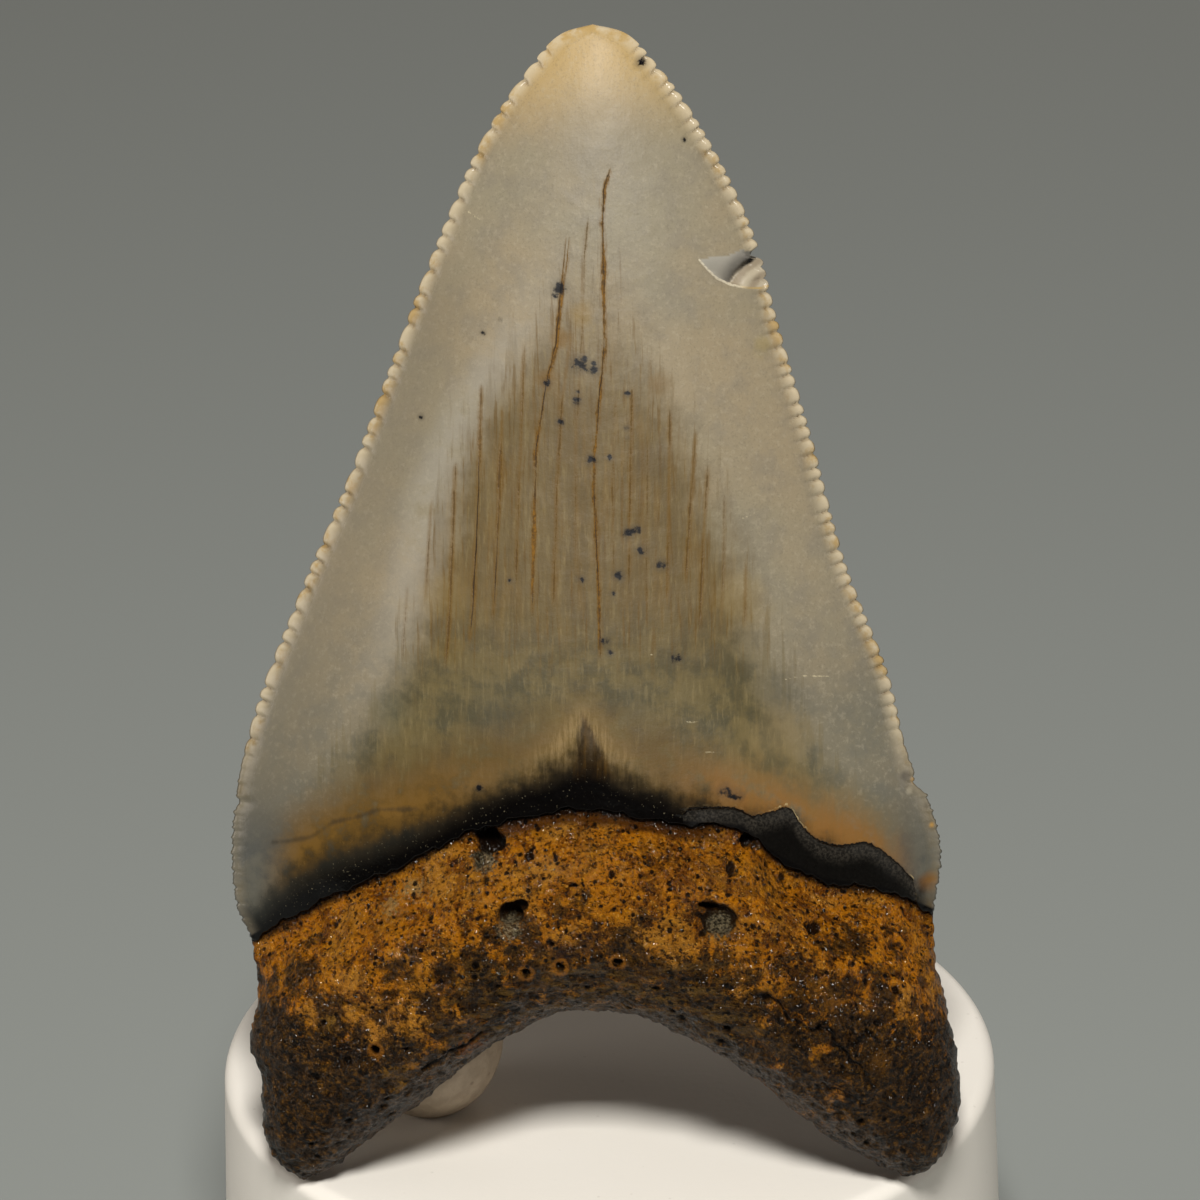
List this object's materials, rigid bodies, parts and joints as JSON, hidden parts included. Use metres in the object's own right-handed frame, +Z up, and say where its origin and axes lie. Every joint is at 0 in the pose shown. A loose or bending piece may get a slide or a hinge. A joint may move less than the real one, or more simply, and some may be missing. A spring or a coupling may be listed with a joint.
{
  "type": "megalodon tooth",
  "caption": "Broad triangular fossil shark tooth with serrated edges and a two-lobed root, leaning on a lump of putty on a round white display plinth.",
  "frame": {"origin": "centre of the plinth's underside", "axes": "+Z up; the tooth's inner face, with the bulging root, looks toward -Y; +X to the viewer's right"},
  "size_m": [0.0516, 0.0516, 0.093],
  "materials": {
    "fossil_tooth": "glossy grey and tan enamel, porous orange to dark brown root",
    "white_plastic": "satin",
    "adhesive_putty": "matte"
  },
  "bodies": {
    "root": {"megalodon_tooth": "fossil_tooth", "display_plinth": "white_plastic", "support_putty": "adhesive_putty"}
  },
  "joints": []
}
